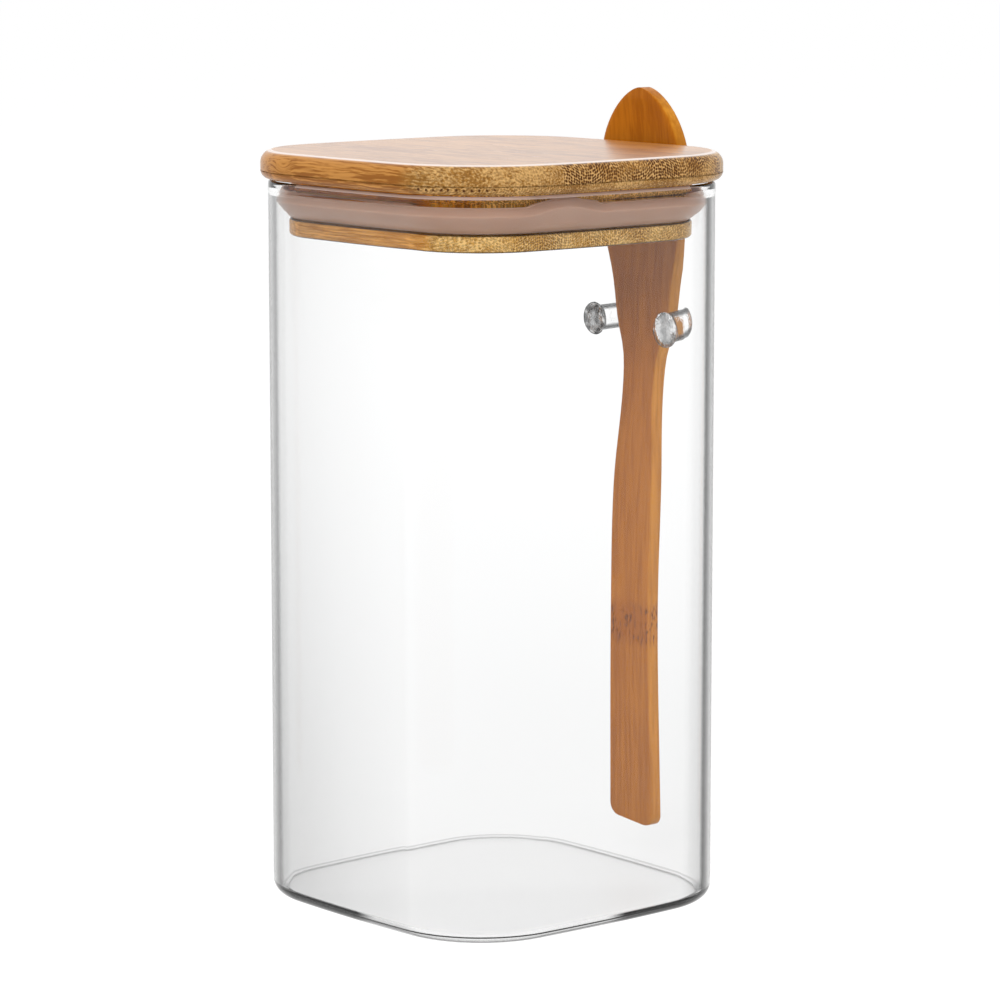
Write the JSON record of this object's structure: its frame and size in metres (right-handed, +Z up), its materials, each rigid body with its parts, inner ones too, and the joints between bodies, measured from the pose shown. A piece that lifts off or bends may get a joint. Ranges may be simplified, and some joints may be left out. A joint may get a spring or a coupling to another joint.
{
  "type": "glass storage jar",
  "caption": "Clear square glass storage jar with a laminated bamboo lid, a silicone seal, and a bamboo spoon hung between glass pegs on one side.",
  "frame": {"origin": "on the glass body's vertical axis, at the underside of its base", "axes": "+Z up, +X towards the side with the pegs and the spoon, Y across that side"},
  "size_m": [0.1136, 0.1046, 0.2137],
  "materials": {
    "jar_glass": "clear polished",
    "peg_glass": "clear polished",
    "lid_bamboo": "satin",
    "seal_silicone": "translucent matte",
    "spoon_bamboo": "oiled satin"
  },
  "bodies": {
    "jar": {"glass_jar": "jar_glass", "glass_peg_left": "peg_glass", "glass_peg_right": "peg_glass"},
    "lid": {"lid_face_ply": "lid_bamboo", "lid_rim_ply": "lid_bamboo", "lid_neck_ply": "lid_bamboo", "lid_plug_ply": "lid_bamboo", "seal_ring": "seal_silicone"},
    "spoon": {"spoon": "spoon_bamboo"}
  },
  "joints": [
    {"name": "lid_lift", "type": "slide", "parent": "jar", "child": "lid", "axis": [0, 0, 1], "range_m": [0, 0.06]},
    {"name": "spoon_lift", "type": "slide", "parent": "jar", "child": "spoon", "axis": [0.03, 0, 0.9996], "range_m": [0, 0.15]}
  ]
}
